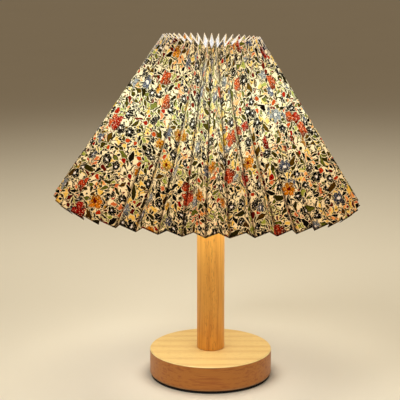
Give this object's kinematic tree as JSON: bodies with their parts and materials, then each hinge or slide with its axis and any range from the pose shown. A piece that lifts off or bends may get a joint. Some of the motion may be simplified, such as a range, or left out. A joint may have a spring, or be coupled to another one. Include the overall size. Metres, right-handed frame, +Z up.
{
  "type": "table lamp",
  "caption": "Small table lamp: round wooden base and column, screw lampholder with a lit candle bulb, and a conical pleated cloth shade with a printed pattern on a wire frame.",
  "frame": {"origin": "on the table, under the lamp's axis", "axes": "+Z up along the column; the front faces -Y and the cable inlet is at +Y"},
  "size_m": [0.2954, 0.2952, 0.3351],
  "materials": {
    "pad": "matte",
    "base_wood": "satin lacquer, light",
    "column_wood": "satin lacquer, warmer",
    "bush": "matte",
    "steel": "zinc plated",
    "dark_steel": "phosphated",
    "nut_brass": "plain",
    "block_plastic": "matte",
    "brass": "plain",
    "brown_insulation": "satin",
    "blue_insulation": "satin",
    "white_plastic": "satin",
    "insulator": "matte",
    "frame_paint": "satin white",
    "printed_cloth": "pleated, printed, on a stiff backing",
    "solder": "dull",
    "black_glass": "gloss",
    "cap_metal": "nickel plated",
    "bulb_plastic": "satin",
    "green_board": "matte",
    "white_board": "white solder mask",
    "diffuser": "frosted, lit warm white"
  },
  "bodies": {
    "stand": {"foot_pad": "pad", "base_disc": "base_wood", "cable_bush": "bush", "column": "column_wood", "clamping_tube": "steel", "flat_washer": "steel", "spring_washer": "dark_steel", "hex_nut": "nut_brass", "terminal_block": "block_plastic", "block_poles": "brass", "block_pole_screws": "steel", "block_wood_screw": "steel", "live_wire": "brown_insulation", "neutral_wire": "blue_insulation", "holder_cap": "white_plastic", "cap_lock_screw": "steel", "holder_shell": "white_plastic", "insulator": "insulator", "screw_sleeve": "brass", "neutral_strap": "brass", "terminals": "brass", "terminal_screws": "steel"},
    "contact": {"centre_contact": "brass"},
    "fitter": {"fitter_washer": "frame_paint"},
    "shade": {"shade_arms": "frame_paint", "crown_ring": "frame_paint", "pleated_skirt": "printed_cloth"},
    "ring": {"retaining_ring": "white_plastic"},
    "bulb_base": {"bulb_contact": "solder", "bulb_insulator": "black_glass"},
    "bulb": {"bulb_screw_cap": "cap_metal", "bulb_housing": "bulb_plastic", "bulb_driver": "green_board", "led_board": "white_board", "bulb_diffuser": "diffuser"}
  },
  "joints": [
    {"name": "contact_press", "type": "slide", "parent": "stand", "child": "contact", "axis": [0, 0, 1], "range_m": [-0.001, 0], "stiffness_N_per_m": 200},
    {"name": "shade_lift", "type": "slide", "parent": "stand", "child": "fitter", "axis": [0, 0, 1], "range_m": [0, 0.17]},
    {"name": "shade_swivel", "type": "hinge", "parent": "fitter", "child": "shade", "pos_m": [0, 0, 0.2075], "axis": [0, 0, 1], "continuous": true},
    {"name": "ring_lift", "type": "slide", "parent": "fitter", "child": "ring", "axis": [0, 0, 1], "range_m": [0, 0.135]},
    {"name": "bulb_rise", "type": "slide", "parent": "stand", "child": "bulb_base", "axis": [0, 0, 1], "range_m": [0, 0.0182]},
    {"name": "bulb_turn", "type": "hinge", "parent": "bulb_base", "child": "bulb", "pos_m": [0, 0, 0.22], "axis": [0, 0, 1], "range_deg": [0, 1800]}
  ],
  "couplings": [
    {"joint": "bulb_rise", "follows": "bulb_turn", "m_per_rad": 0.00057752}
  ]
}
